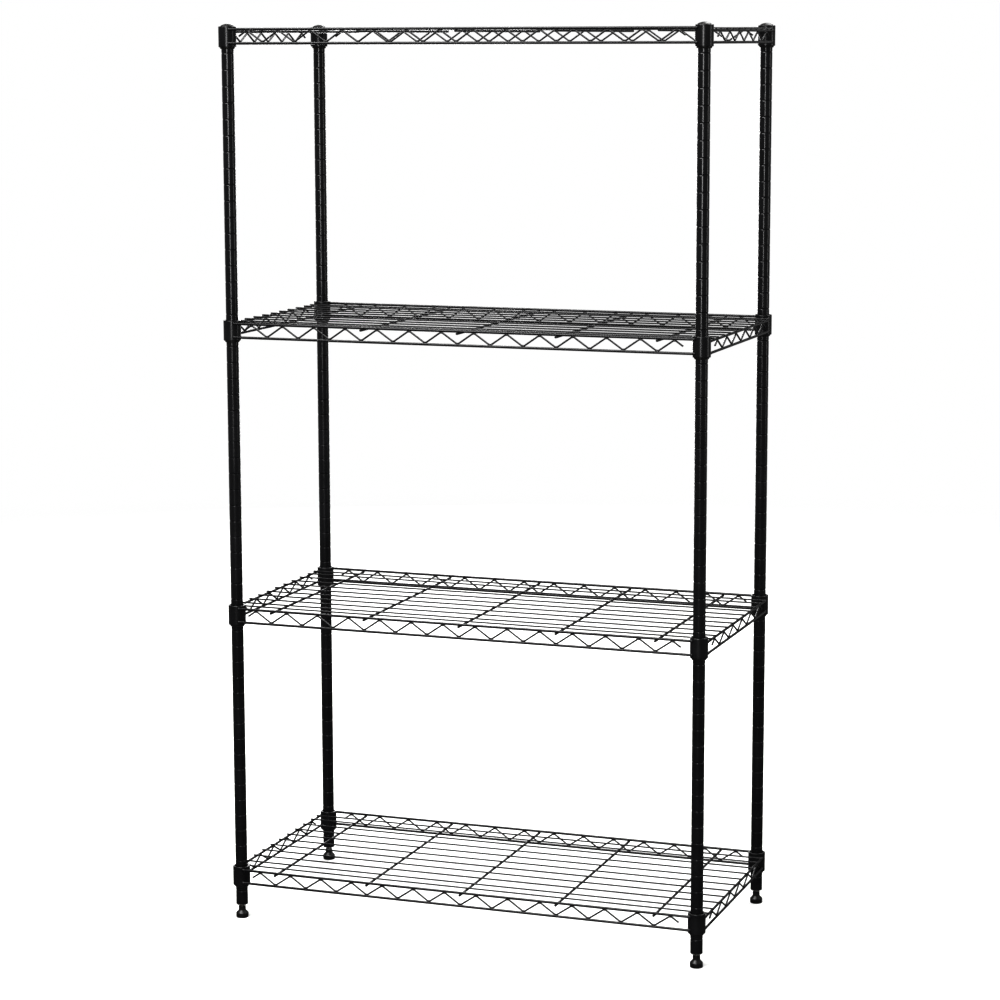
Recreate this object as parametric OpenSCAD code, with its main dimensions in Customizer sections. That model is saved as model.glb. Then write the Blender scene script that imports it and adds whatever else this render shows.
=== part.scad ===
// Four-tier wire shelving rack: four grooved posts on levelling feet carry four
// welded wire shelves, each held at its corners by tapered split clips.
// Origin at the centre of the footprint on the floor, +X right, +Y rear, +Z up.

/* [Posts] */
// Distance between post centres, left to right
post_span_x = 769; // [420:1:1200]
// Distance between post centres, front to rear
post_span_y = 356; // [250:1:610]
// Length of a post tube
post_len = 1408; // [700:1:2000]
// Outer diameter of a post tube
post_d = 19; // [16:0.5:28]
// Wall of a post tube
post_wall = 1; // [0.8:0.1:1.5]
// Distance from one groove to the next
groove_pitch = 25.4; // [20:0.1:40]
// Height of the lowest groove above the end of its tube
groove_start = 22; // [18:1:40]
// Depth of a groove
groove_depth = 0.5; // [0.3:0.05:0.6]
// Width of a groove at the surface of the tube
groove_w = 2.4; // [1.6:0.1:4]

/* [Shelves] */
// Height of the front and rear upper rims above the lower edge of a collar
upper_rim_z = 27.5; // [25:0.5:29]
// Height of the lower rims above the lower edge of a collar
lower_rim_z = 6; // [4:0.5:8]
// Centre distance of the deck wires
deck_pitch = 33.5; // [15:0.5:60]
// Length of one wave of the truss wires
truss_period = 53.2; // [40:0.1:80]
// Number of truss waves from one cross wire to the next
waves_per_cross = 3; // [1:1:4]
// Inside gap between the outermost deck wires and the collars
deck_edge_gap = 4; // [2:0.5:10]

/* [Wires] */
// Diameter of the rim wires
rim_d = 4; // [3:0.1:5]
// Diameter of the truss wires
truss_d = 2.8; // [2:0.1:3.5]
// Diameter of the cross wires under the deck
cross_d = 3.8; // [3:0.1:5]
// Diameter of the deck wires
deck_d = 2.5; // [2:0.1:3.5]
// Centre-line radius of the bends of a truss wire
bend_r = 3.5; // [2.5:0.1:5]
// How deep two crossing wires sink into each other at a weld
weld_sink = 0.4; // [0.2:0.05:0.6]
// How deep a truss bend sinks into a rim at its weld
bend_sink = 1; // [0.4:0.1:1.2]
// How far a wire end stands past the wire that it is welded to
wire_overhang = 0.8; // [0:0.1:3]

/* [Collars and clips] */
// Height of a shelf collar
collar_h = 32; // [31:0.5:45]
// Wall of a collar at its lower edge
collar_wall = 1.75; // [1.5:0.05:3]
// Chamfer on the outer edges of a collar
collar_chamfer = 1; // [0.4:0.1:1.4]
// How far a rim's centre line lies inside the outer surface of a collar
rim_bite = 2.25; // [1.8:0.05:3]
// Thickness of a clip at its upper edge
clip_t = 1.3; // [1:0.1:2]
// How much thicker a clip is at the lower edge of its collar
clip_taper = 0.8; // [0.4:0.1:1.5]
// Radial gap between a post and the clip on it
clip_gap = 0.1; // [0.05:0.05:0.2]
// Radial gap between a clip and the collar around it
collar_gap = 0.3; // [0.2:0.05:0.5]
// How far a clip stands out below its collar
clip_lip = 2.5; // [2:0.5:6]
// How far the upper edge of a clip lies below that of its collar
clip_drop = 2.5; // [1:0.5:4]
// Angle of the slot between the two halves of a clip
clip_slot = 6; // [3:1:12]

/* [Caps] */
// Height of a cap above the end of its post
cap_h = 5.5; // [5:0.1:12]
// Height of the straight side of a cap
cap_side_h = 2.5; // [1:0.1:4.5]
// Radial gap between a cap and the collar that lifts off over it
cap_gap = 0.9; // [0.5:0.1:1]
// Length of the plug of a cap inside its post
plug_len = 15; // [8:1:30]

/* [Feet] */
// Height of a foot pad
pad_h = 19; // [15:0.5:30]
// Diameter of a foot pad on the floor
pad_d = 20; // [16:0.5:40]
// Diameter of the neck of a foot pad
pad_neck_d = 11.5; // [10.5:0.5:14]
// Height of the straight side of a foot pad
pad_side_h = 7.5; // [5:0.5:9]
// Radius of the lower edge of a foot pad
pad_round = 1.5; // [0.5:0.1:2.5]
// Outer diameter of the threaded stud
stud_d = 8; // [6:1:8]
// Pitch of the thread
thread_pitch = 1.25; // [1:0.25:1.5]
// Bare length of stud between a pad and its nut
stud_show = 3.1; // [2.8:0.1:20]
// Length of stud inside its post
stud_grip = 30; // [25:1:60]
// Height of the nut inside a post
nut_h = 16; // [10:1:20]
// Thickness of the nut's flange under the end of the post
nut_flange = 1.2; // [0.8:0.1:2]

/* [Hidden] */
CORNERS = ["front_left", "front_right", "rear_left", "rear_right"];
SHELVES = [1, 2, 3, 4];

$fn = 48;
WIRE_FN = 24;          // facets shown on a wire
CUT = 1;               // how far a cutting shape runs past what it cuts
FIT = 0.05;            // radial gap of a pressed-in plug
PLUG_WALL = 1.5;       // wall of a cap's plug
STUD_GAP = 0.1;        // radial gap around a stud in its nut and its pad
THREAD_DEPTH = 0.6;    // depth of the thread as a share of its pitch
THREAD_FLAT = 0.25;    // width of the thread's crest as a share of its pitch
FLARE_SLOPE = 1.1;     // rise of a pad's flare for each millimetre that it narrows
GROOVE_FLOOR = 0.5;    // width of a groove's floor as a share of its mouth
RIDGE_GAP = 0.15;      // gap between a clip's ridge and the floor of its groove
RIDGE_SHARE = 0.7;     // width of a clip's ridge as a share of the groove's
CLIP_STEP = 0.5;       // height of the slope from a clip's lip out to its widest part
CLIP_STAY = 0.5;       // least length of post above the highest clip
RIM_CLEAR = 0.05;      // gap between the end of a rim and the bore of its collar
LEG_TUCK = 0.3;        // how far a leg of a truss wire runs into its bend
BEND_SWELL = 0.02;     // how much thicker a bend is than its legs, on the radius

BLACK = "#1b1b1d";
PLASTIC = "#141416";
STEEL = "#9a9da1";

// Heights of the posts
post_r = post_d / 2;
bore_r = post_r - post_wall;
post_z = pad_h + stud_show + nut_flange;
post_top = post_z + post_len;

// Clips and collars, outwards from the post
clip_bore_r = post_r + clip_gap;
clip_top_r = clip_bore_r + clip_t;
clip_low_r = clip_top_r + clip_taper;
collar_top_bore = clip_top_r + collar_gap;
collar_low_bore = clip_low_r + collar_gap;
collar_r = collar_low_bore + collar_wall;

// Grooves: the lowest shelf sits at groove FIRST, the highest at the last one
// that still leaves the clip on the post, the others evenly between them
FIRST = 1;
last_groove =
    floor((post_len - groove_start - collar_h / 2 + clip_drop - CLIP_STAY) / groove_pitch);
function groove_z(i) = groove_start + i * groove_pitch;
function shelf_groove(s) = FIRST + floor((s - 1) * (last_groove - FIRST) / (len(SHELVES) - 1));
function shelf_z(s) = post_z + groove_z(shelf_groove(s)) - collar_h / 2;

// Plan of a shelf: rims run just outside the posts and end against the collars
rim_offset = collar_r - rim_bite;
rim_x = post_span_x / 2 + rim_offset;
rim_y = post_span_y / 2 + rim_offset;
rim_inner_r = rim_offset - rim_d / 2;
// The inner side of a rim stops just outside the bore of the collar
rim_end = sqrt(pow(collar_low_bore + RIM_CLEAR, 2) - pow(rim_inner_r, 2));
rim_len_x = post_span_x - 2 * rim_end;
rim_len_y = post_span_y - 2 * rim_end;

// Stack of a shelf, as heights above the lower edge of its collars
cross_z = upper_rim_z - rim_d / 2 - cross_d / 2 + weld_sink;
deck_z = cross_z + cross_d / 2 + deck_d / 2 - weld_sink;
side_rim_z = deck_z - deck_d / 2 - rim_d / 2 + weld_sink;

// Truss bends reach into the rims by bend_sink
bend_reach = rim_d / 2 + truss_d / 2 - bend_sink;
function crests(span) = max(1, floor((span / 2 - collar_r - truss_period / 4) / truss_period + 0.5));

// Cross wires stand at every few waves, deck wires at deck_pitch and beside the collars
cross_pitch = waves_per_cross * truss_period;
cross_n = floor((post_span_x / 2 - collar_r - cross_d) / cross_pitch);
edge_deck_y = post_span_y / 2 - collar_r - deck_edge_gap - deck_d / 2;
deck_n = floor((edge_deck_y - deck_pitch / 2) / deck_pitch);
deck_ys = concat([-edge_deck_y], [for (i = [-deck_n:deck_n]) i * deck_pitch], [edge_deck_y]);

// --- Placing --------------------------------------------------------------

function corner_x(i) = (i % 2 == 0 ? -1 : 1) * post_span_x / 2;
function corner_y(i) = (i < 2 ? -1 : 1) * post_span_y / 2;

module at_corner(i) {
    translate([corner_x(i), corner_y(i), 0]) children();
}

module at_each_corner() {
    for (i = [0:3]) at_corner(i) children();
}

module at_shelf(s) {
    translate([0, 0, shelf_z(s)]) children();
}

// --- Posts, caps and feet -------------------------------------------------

// Outline of one groove, cut into the wall at height z
function groove_points(z) = [
    [post_r, z - groove_w / 2],
    [post_r - groove_depth, z - groove_w * GROOVE_FLOOR / 2],
    [post_r - groove_depth, z + groove_w * GROOVE_FLOOR / 2],
    [post_r, z + groove_w / 2]];

module post() {
    color(BLACK) translate([0, 0, post_z]) rotate_extrude() polygon(concat(
        [[bore_r, 0], [post_r, 0]],
        [for (i = [0:last_groove]) for (p = groove_points(groove_z(i))) p],
        [[post_r, post_len], [bore_r, post_len]]));
}

module post_cap() {
    cap_r = collar_top_bore - cap_gap;
    rise = cap_h - cap_side_h;
    dome_r = (pow(cap_r, 2) + pow(rise, 2)) / (2 * rise);
    plug_r = bore_r - FIT;
    color(PLASTIC) translate([0, 0, post_top]) union() {
        intersection() {
            cylinder(h = cap_h, r = cap_r);
            translate([0, 0, cap_h - dome_r]) sphere(r = dome_r);
        }
        difference() {
            translate([0, 0, -plug_len]) cylinder(h = plug_len, r = plug_r);
            translate([0, 0, -plug_len - CUT]) cylinder(h = plug_len, r = plug_r - PLUG_WALL);
        }
    }
}

module foot_nut() {
    hole_r = stud_d / 2 + STUD_GAP;
    color(STEEL) translate([0, 0, post_z]) difference() {
        union() {
            cylinder(h = nut_h, r = bore_r - FIT);
            translate([0, 0, -nut_flange]) cylinder(h = nut_flange, r = post_r);
        }
        translate([0, 0, -nut_flange - CUT]) cylinder(h = nut_h + nut_flange + 2 * CUT, r = hole_r);
    }
}

// The stud stands on the floor of the socket in its pad
socket_z = pad_side_h + pad_round;

module foot_stud() {
    crest = stud_d / 2;
    root = crest - THREAD_DEPTH * thread_pitch;
    foot = socket_z + STUD_GAP;
    threads = floor((post_z + stud_grip - foot - 2 * thread_pitch) / thread_pitch);
    start = foot + thread_pitch;
    color(STEEL) rotate_extrude() polygon(concat(
        [[0, foot], [root, foot], [root, start]],
        [for (i = [0:threads - 1])
            for (p = [[crest, 0.5 - THREAD_FLAT / 2], [crest, 0.5 + THREAD_FLAT / 2], [root, 1]])
                [p[0], start + (i + p[1]) * thread_pitch]],
        [[root, start + (threads + 0.5) * thread_pitch], [0, start + (threads + 0.5) * thread_pitch]]));
}

module foot_pad() {
    r = pad_d / 2;
    neck_r = pad_neck_d / 2;
    neck_z = pad_side_h + (r - neck_r) * FLARE_SLOPE;
    color(PLASTIC) difference() {
        union() {
            rotate_extrude() polygon([
                [0, pad_round], [r, pad_round], [r, pad_side_h],
                [neck_r, neck_z], [neck_r, pad_h], [0, pad_h]]);
            // Rounded lower edge around a flat sole
            rotate_extrude() union() {
                square([r - pad_round, pad_round]);
                intersection() {
                    translate([r - pad_round, pad_round]) circle(r = pad_round);
                    square([r, pad_round]);
                }
            }
        }
        translate([0, 0, socket_z]) cylinder(h = pad_h, r = stud_d / 2 + STUD_GAP);
    }
}

// --- Collars and clips ----------------------------------------------------

module collars() {
    c = collar_chamfer;
    color(BLACK) at_each_corner() rotate_extrude() polygon([
        [collar_low_bore, 0], [collar_r - c, 0], [collar_r, c],
        [collar_r, collar_h - c], [collar_r - c, collar_h], [collar_top_bore, collar_h]]);
}

// One half of every clip of a shelf, from its bore with the ridge to its tapered outside
module clip_halves(from_angle) {
    z0 = -clip_lip;
    z1 = collar_h - clip_drop;
    mid = collar_h / 2;
    ridge_r = post_r - groove_depth + RIDGE_GAP;
    ridge_w = groove_w * RIDGE_SHARE;
    color(PLASTIC) at_each_corner()
        rotate_extrude(angle = 180 - clip_slot, start = from_angle + clip_slot / 2) polygon([
            [clip_bore_r, z0], [clip_top_r, z0], [clip_low_r, -CLIP_STEP], [clip_low_r, 0],
            [clip_top_r, z1], [clip_bore_r, z1],
            [clip_bore_r, mid + ridge_w / 2], [ridge_r, mid + ridge_w * GROOVE_FLOOR / 2],
            [ridge_r, mid - ridge_w * GROOVE_FLOOR / 2], [clip_bore_r, mid - ridge_w / 2]]);
}

// --- Shelf wires ----------------------------------------------------------

module wire_x(length, d) {
    rotate([0, 90, 0]) cylinder(h = length, d = d, center = true, $fn = WIRE_FN);
}

module wire_y(length, d) {
    rotate([90, 0, 0]) cylinder(h = length, d = d, center = true, $fn = WIRE_FN);
}

module upper_rims() {
    color(BLACK) for (side = [-1, 1]) {
        translate([0, side * rim_y, upper_rim_z]) wire_x(rim_len_x, rim_d);
        translate([side * rim_x, 0, side_rim_z]) wire_y(rim_len_y, rim_d);
    }
}

module lower_rims() {
    color(BLACK) for (side = [-1, 1]) {
        translate([0, side * rim_y, lower_rim_z]) wire_x(rim_len_x, rim_d);
        translate([side * rim_x, 0, lower_rim_z]) wire_y(rim_len_y, rim_d);
    }
}

// Slope of the straight legs of a truss wire whose bends lie h apart
function leg_angle(h) =
    let (half = truss_period / 2, rise = h - 2 * bend_r)
    atan2(rise, half) + asin(2 * bend_r / norm([half, rise]));

// A straight piece of truss wire that falls by slope towards +X
module leg(length, slope) {
    rotate([0, 90 + slope, 0]) cylinder(h = length, d = truss_d, center = true, $fn = WIRE_FN);
}

// A bend around the origin, centred on an angle, a hair thicker than the legs it takes in
module bend(slope, centre_angle) {
    rotate([90, 0, 0]) rotate_extrude(angle = 2 * slope, start = centre_angle - slope)
        translate([bend_r, 0]) circle(d = truss_d + 2 * BEND_SWELL, $fn = WIRE_FN);
}

// A truss wire in the XZ plane with its lower bends at z0 and its upper ones at z1.
// It has 2 n crests, and ends in half a leg past the outermost ones.
module truss_wire(n, z0, z1) {
    slope = leg_angle(z1 - z0);
    leg_len = (truss_period / 2 - 2 * bend_r * sin(slope)) / cos(slope) + 2 * LEG_TUCK;
    mid = (z0 + z1) / 2;
    quarter = truss_period / 4;
    union() {
        for (i = [0:2 * n - 1]) {
            crest_x = (i - n + 0.5) * truss_period;
            translate([crest_x, 0, z1 - bend_r]) bend(slope, 90);
            if (i > 0) {
                translate([crest_x - 2 * quarter, 0, z0 + bend_r]) bend(slope, 270);
                translate([crest_x - quarter, 0, mid]) leg(leg_len, -slope);
                translate([crest_x - 3 * quarter, 0, mid]) leg(leg_len, slope);
            }
        }
        for (side = [-1, 1])
            translate([side * (n * truss_period - quarter), 0, mid])
                rotate([0, side * slope, 0]) translate([-side * leg_len / 4, 0, 0])
                    leg(leg_len / 2, 0);
    }
}

module trusses() {
    z0 = lower_rim_z + bend_reach;
    color(BLACK) for (side = [-1, 1]) {
        translate([0, side * rim_y, 0])
            truss_wire(crests(post_span_x), z0, upper_rim_z - bend_reach);
        translate([side * rim_x, 0, 0]) rotate([0, 0, 90])
            truss_wire(crests(post_span_y), z0, side_rim_z - bend_reach);
    }
}

module cross_wires() {
    length = 2 * (rim_y + rim_d / 2 + wire_overhang);
    color(BLACK) for (i = [-cross_n:cross_n])
        translate([i * cross_pitch, 0, cross_z]) wire_y(length, cross_d);
}

module deck_wires() {
    length = 2 * (rim_x + rim_d / 2 + wire_overhang);
    color(BLACK) for (y = deck_ys)
        translate([0, y, deck_z]) wire_x(length, deck_d);
}

// --- Nodes ----------------------------------------------------------------

for (i = [0:3]) {
    at_corner(i) post();
    at_corner(i) post_cap();
    at_corner(i) foot_nut();
    at_corner(i) foot_stud();
    at_corner(i) foot_pad();
}
for (s = SHELVES) {
    at_shelf(s) collars();
    at_shelf(s) upper_rims();
    at_shelf(s) lower_rims();
    at_shelf(s) trusses();
    at_shelf(s) cross_wires();
    at_shelf(s) deck_wires();
    at_shelf(s) clip_halves(180);
    at_shelf(s) clip_halves(0);
}
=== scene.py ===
"""A four-tier wire shelving rack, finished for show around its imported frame.

Every piece is made in place, in metres, in the frame's axes: +X right, +Y rear, +Z up.
Places come from the boxes of the CAD nodes; the sizes that a box doesn't give are
fields of the class that uses them.
"""

import logging
import math
from abc import ABC, abstractmethod
from dataclasses import dataclass, field
from enum import Enum
from functools import cache

import bmesh
import bpy
from mathutils import Matrix, Vector


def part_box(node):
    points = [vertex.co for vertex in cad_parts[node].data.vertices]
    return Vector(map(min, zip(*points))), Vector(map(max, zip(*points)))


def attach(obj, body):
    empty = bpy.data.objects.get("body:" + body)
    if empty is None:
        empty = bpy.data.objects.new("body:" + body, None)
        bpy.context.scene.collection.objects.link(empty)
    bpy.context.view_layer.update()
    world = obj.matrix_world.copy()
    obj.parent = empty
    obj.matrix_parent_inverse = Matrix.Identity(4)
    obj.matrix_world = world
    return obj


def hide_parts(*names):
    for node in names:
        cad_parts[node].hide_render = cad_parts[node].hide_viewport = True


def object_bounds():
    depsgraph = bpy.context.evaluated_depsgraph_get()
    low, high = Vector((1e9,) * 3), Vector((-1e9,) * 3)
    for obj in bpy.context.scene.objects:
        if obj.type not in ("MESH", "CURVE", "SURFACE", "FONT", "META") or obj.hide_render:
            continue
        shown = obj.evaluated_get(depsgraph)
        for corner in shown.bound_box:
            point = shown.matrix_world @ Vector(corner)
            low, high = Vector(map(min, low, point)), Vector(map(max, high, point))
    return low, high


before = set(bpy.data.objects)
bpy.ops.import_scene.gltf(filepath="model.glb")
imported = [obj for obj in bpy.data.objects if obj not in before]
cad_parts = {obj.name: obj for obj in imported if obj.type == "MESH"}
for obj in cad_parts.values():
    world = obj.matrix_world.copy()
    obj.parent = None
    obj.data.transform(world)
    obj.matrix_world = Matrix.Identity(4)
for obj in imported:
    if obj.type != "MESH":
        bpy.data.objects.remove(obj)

CAD_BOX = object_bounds()
LOG = logging.getLogger("rack")
MM = 0.001
SHELVES = (1, 2, 3, 4)
TOP_SHELF = SHELVES[-1]
MATH = "ShaderNodeMath"
NOISE = "ShaderNodeTexNoise"

# Most of a noise's values lie between these two
NOISE_LOW, NOISE_HIGH = 0.3, 0.7
# How a turned outline is rounded: the angle between its points, the length past which a side
# counts as long, and where such a side gets its extra point, both in tangent lengths
ROUND_STEP = math.radians(20)
LONG_SIDE, SIDE_POINT = 8.0, 1.8
# How a finished piece is joined and shaded
MERGE, CREASE = 0.001 * MM, math.radians(50)

Tree, Node = bpy.types.NodeTree, bpy.types.Node
Socket, Outputs = bpy.types.NodeSocket, bpy.types.NodeOutputs
Mesh = bpy.types.Mesh
Point = tuple[float, float]
Bend = tuple[float, float, float]


class Corner(Enum):
    """A corner of the rack, under the name that its CAD nodes carry."""

    FRONT_LEFT = "front_left"
    FRONT_RIGHT = "front_right"
    REAR_LEFT = "rear_left"
    REAR_RIGHT = "rear_right"


class Half(Enum):
    """A half of a split clip; the value is the angle at which it starts, from +X."""

    FRONT = math.pi
    REAR = 0.0


class Run(Enum):
    """The way that a wire runs; the value is its turn about Z."""

    SIDEWAYS = 0.0
    FRONT_TO_REAR = math.pi / 2


class Slot(Enum):
    """A material slot of the record."""

    POST = "black_post_coating"
    WIRE = "black_wire_coating"
    MOULDING = "black_moulding"
    ZINC = "zinc_steel"


class Kind(Enum):
    """The kind of an input of a geometry tree, as its socket type."""

    SIZE = "NodeSocketFloat"
    COUNT = "NodeSocketInt"
    VECTOR = "NodeSocketVector"
    MATERIAL = "NodeSocketMaterial"


# --- Nodes and colours ----------------------------------------------------


def linear(colour: str) -> tuple[float, float, float, float]:
    """Turns an sRGB colour into the linear one that a shader takes.

    Args:
        colour: The colour as "#rrggbb".

    Returns:
        Linear red, green, blue and an alpha of 1.
    """
    shares = [int(colour[i:i + 2], 16) / 255 for i in (1, 3, 5)]
    red, green, blue = (s / 12.92 if s <= 0.04045 else ((s + 0.055) / 1.055) ** 2.4 for s in shares)
    return red, green, blue, 1.0


def add_node(tree: Tree, kind: str, settings: dict | None = None, inputs: dict | None = None) -> Node:
    """Adds a node to a tree, with its settings and what feeds it.

    Args:
        tree: The tree that takes the node.
        kind: The node's type.
        settings: The node's own attributes, by name.
        inputs: Its inputs, by name or number. A node gives its first output, a socket is
            linked as it is, and anything else is the input's value.

    Returns:
        The new node.
    """
    node = tree.nodes.new(kind)
    for name, value in (settings or {}).items():
        setattr(node, name, value)
    for key, value in (inputs or {}).items():
        if isinstance(value, Node):
            value = value.outputs[0]
        if isinstance(value, Socket):
            tree.links.new(value, node.inputs[key])
        else:
            node.inputs[key].default_value = value
    return node


# --- Finishes -------------------------------------------------------------


@dataclass(frozen=True)
class Finish(ABC):
    """What a surface is made of and how it was made."""

    name: str
    colour: str
    roughness: float
    grain: float
    relief: float

    @abstractmethod
    def surface(self, tree: Tree, shader: Node, place: Socket) -> None:
        """Adds the nodes that colour and roughen the shader.

        Args:
            tree: The material's tree.
            shader: Its Principled BSDF.
            place: The Object coordinates of the point, in metres.
        """

    def material(self) -> bpy.types.Material:
        """Makes the finish's material, or returns it if it is there already."""
        made = bpy.data.materials.get(self.name)
        if made:
            return made
        made = bpy.data.materials.new(self.name)
        made.use_nodes = True
        made.diffuse_color = linear(self.colour)
        tree = made.node_tree
        shader = tree.nodes["Principled BSDF"]
        place = add_node(tree, "ShaderNodeTexCoord").outputs["Object"]
        self.surface(tree, shader, place)
        grain = add_node(tree, NOISE, None, {"Vector": place, "Scale": 1 / self.grain})
        relief = add_node(tree, "ShaderNodeBump", None, {
            "Strength": 1.0, "Distance": self.relief, "Height": grain})
        tree.links.new(relief.outputs[0], shader.inputs["Normal"])
        return made


@dataclass(frozen=True)
class PowderCoat(Finish):
    """Gloss black epoxy powder, sprayed on steel and baked.

    It flows out to a deep shine with a slight orange peel, is a little thinner and greyer in
    drifts, and is paler grey on whatever faces up: partly dust, partly a painted sheen that
    stands in for the light from above.
    """

    thin_colour: str = "#1a1a1c"
    dust_and_sheen_colour: str = "#6d6b68"
    drift: float = 45 * MM
    speck: float = 3 * MM
    dust_and_sheen: float = 0.07
    dust_and_sheen_slopes: Point = (0.35, 0.95)
    speck_values: Point = (0.35, 0.7)
    dulling: float = 2.0
    spread: Point = (0.85, 1.2)
    ior: float = 1.5

    def surface(self, tree: Tree, shader: Node, place: Socket) -> None:
        """Adds the drifts of thinner coat, the dust with its painted sheen on upward faces, and the
        roughness of both.
        """
        shader.inputs["IOR"].default_value = self.ior
        drifts = add_node(tree, NOISE, None, {"Vector": place, "Scale": 1 / self.drift})
        coat = add_node(tree, "ShaderNodeMix", {"data_type": "RGBA"}, {
            "Factor": drifts, 6: linear(self.colour), 7: linear(self.thin_colour)})
        facing = add_node(tree, "ShaderNodeSeparateXYZ", None, {
            0: add_node(tree, "ShaderNodeNewGeometry").outputs["Normal"]})
        # Paler grey on upward faces, by the normal: dust and a painted sheen of the overhead light.
        upward_dust_and_sheen = add_node(tree, "ShaderNodeMapRange", None, {
            "Value": facing.outputs["Z"], "To Max": self.dust_and_sheen,
            "From Min": self.dust_and_sheen_slopes[0], "From Max": self.dust_and_sheen_slopes[1]})
        specks = add_node(tree, "ShaderNodeMapRange", None, {
            "Value": add_node(tree, NOISE, None, {
                "Vector": place, "Scale": 1 / self.speck, "Detail": 6.0}),
            "From Min": self.speck_values[0], "From Max": self.speck_values[1]})
        dust_and_sheen_mask = add_node(tree, MATH, {"operation": "MULTIPLY"}, {0: upward_dust_and_sheen, 1: specks})
        coat_with_dust_and_sheen = add_node(tree, "ShaderNodeMix", {"data_type": "RGBA"}, {
            "Factor": dust_and_sheen_mask, 6: coat.outputs[2], 7: linear(self.dust_and_sheen_colour)})
        tree.links.new(coat_with_dust_and_sheen.outputs[2], shader.inputs["Base Color"])
        shine = add_node(tree, "ShaderNodeMapRange", None, {
            "Value": drifts, "From Min": NOISE_LOW, "From Max": NOISE_HIGH,
            "To Min": self.roughness * self.spread[0], "To Max": self.roughness * self.spread[1]})
        dulled = add_node(tree, MATH, {"operation": "MULTIPLY_ADD"}, {
            0: dust_and_sheen_mask, 1: self.dulling, 2: shine})
        tree.links.new(dulled.outputs[0], shader.inputs["Roughness"])


@dataclass(frozen=True)
class MouldedPlastic(Finish):
    """Black nylon or polyethylene from an eroded steel mould.

    It is a flat, slightly brown black with a fine satin grain and paler flow clouds.
    """

    flow_colour: str = "#1d1c1b"
    flow: float = 9 * MM
    spread: Point = (0.85, 1.25)
    ior: float = 1.53

    def surface(self, tree: Tree, shader: Node, place: Socket) -> None:
        """Adds the flow clouds and the satin of the mould."""
        shader.inputs["IOR"].default_value = self.ior
        clouds = add_node(tree, NOISE, None, {"Vector": place, "Scale": 1 / self.flow, "Detail": 4.0})
        colour = add_node(tree, "ShaderNodeMix", {"data_type": "RGBA"}, {
            "Factor": clouds, 6: linear(self.colour), 7: linear(self.flow_colour)})
        tree.links.new(colour.outputs[2], shader.inputs["Base Color"])
        satin = add_node(tree, "ShaderNodeMapRange", None, {
            "Value": add_node(tree, NOISE, None, {"Vector": place, "Scale": 1 / self.grain}),
            "From Min": NOISE_LOW, "From Max": NOISE_HIGH,
            "To Min": self.roughness * self.spread[0], "To Max": self.roughness * self.spread[1]})
        tree.links.new(satin.outputs[0], shader.inputs["Roughness"])


@dataclass(frozen=True)
class ZincPlate(Finish):
    """Bright zinc on turned steel, barrel-plated and passivated.

    It shines coldly, with faint straw and blue clouds, and is duller where parts rubbed.
    """

    cloud_colour: str = "#b9b29f"
    cloud: float = 4 * MM
    rub: float = 1.2 * MM
    spread: Point = (0.75, 1.4)

    def surface(self, tree: Tree, shader: Node, place: Socket) -> None:
        """Adds the passivation's clouds and the rubbed patches."""
        shader.inputs["Metallic"].default_value = 1.0
        clouds = add_node(tree, NOISE, None, {"Vector": place, "Scale": 1 / self.cloud, "Detail": 3.0})
        colour = add_node(tree, "ShaderNodeMix", {"data_type": "RGBA"}, {
            "Factor": clouds, 6: linear(self.colour), 7: linear(self.cloud_colour)})
        tree.links.new(colour.outputs[2], shader.inputs["Base Color"])
        rubbed = add_node(tree, "ShaderNodeMapRange", None, {
            "Value": add_node(tree, NOISE, None, {
                "Vector": place, "Scale": 1 / self.rub, "Detail": 5.0}),
            "From Min": NOISE_LOW, "From Max": NOISE_HIGH,
            "To Min": self.roughness * self.spread[0], "To Max": self.roughness * self.spread[1]})
        tree.links.new(rubbed.outputs[0], shader.inputs["Roughness"])


@dataclass(frozen=True)
class MattPaint(Finish):
    """Pale emulsion rolled on a studio floor: flat, with a barely uneven tone.

    It fades into the backdrop between two distances from the origin. Shiny pieces mirror it
    in a dark colour: a painted dark reflection, in place of a studio's black flag.
    """

    tone_colour: str = "#f3f3f1"
    tone: float = 0.7
    fade_from: float = 1.6
    fade_to: float = 4.5
    painted_dark_reflection_colour: str = "#3c3c3c"
    specular: float = 0.1

    def surface(self, tree: Tree, shader: Node, place: Socket) -> None:
        """Adds the uneven tone of the roller, the fade and the painted dark reflection."""
        shader.inputs["Roughness"].default_value = self.roughness
        shader.inputs["Specular IOR Level"].default_value = self.specular
        tone = add_node(tree, "ShaderNodeMix", {"data_type": "RGBA"}, {
            "Factor": add_node(tree, NOISE, None, {"Vector": place, "Scale": 1 / self.tone}),
            6: linear(self.colour), 7: linear(self.tone_colour)})
        # Painted dark reflection: glossy rays see the floor in a dark grey.
        mirrored = add_node(tree, "ShaderNodeLightPath").outputs["Is Glossy Ray"]
        colour = add_node(tree, "ShaderNodeMix", {"data_type": "RGBA"}, {
            "Factor": mirrored, 6: tone.outputs[2], 7: linear(self.painted_dark_reflection_colour)})
        tree.links.new(colour.outputs[2], shader.inputs["Base Color"])
        distance = add_node(tree, "ShaderNodeVectorMath", {"operation": "LENGTH"}, {0: place})
        fade = add_node(tree, "ShaderNodeMapRange", {"interpolation_type": "SMOOTHSTEP"}, {
            "Value": distance.outputs["Value"], "From Min": self.fade_from, "From Max": self.fade_to})
        clear = add_node(tree, "ShaderNodeBsdfTransparent")
        faded = add_node(tree, "ShaderNodeMixShader", None, {0: fade, 1: shader, 2: clear})
        tree.links.new(faded.outputs[0], tree.nodes["Material Output"].inputs["Surface"])


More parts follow.
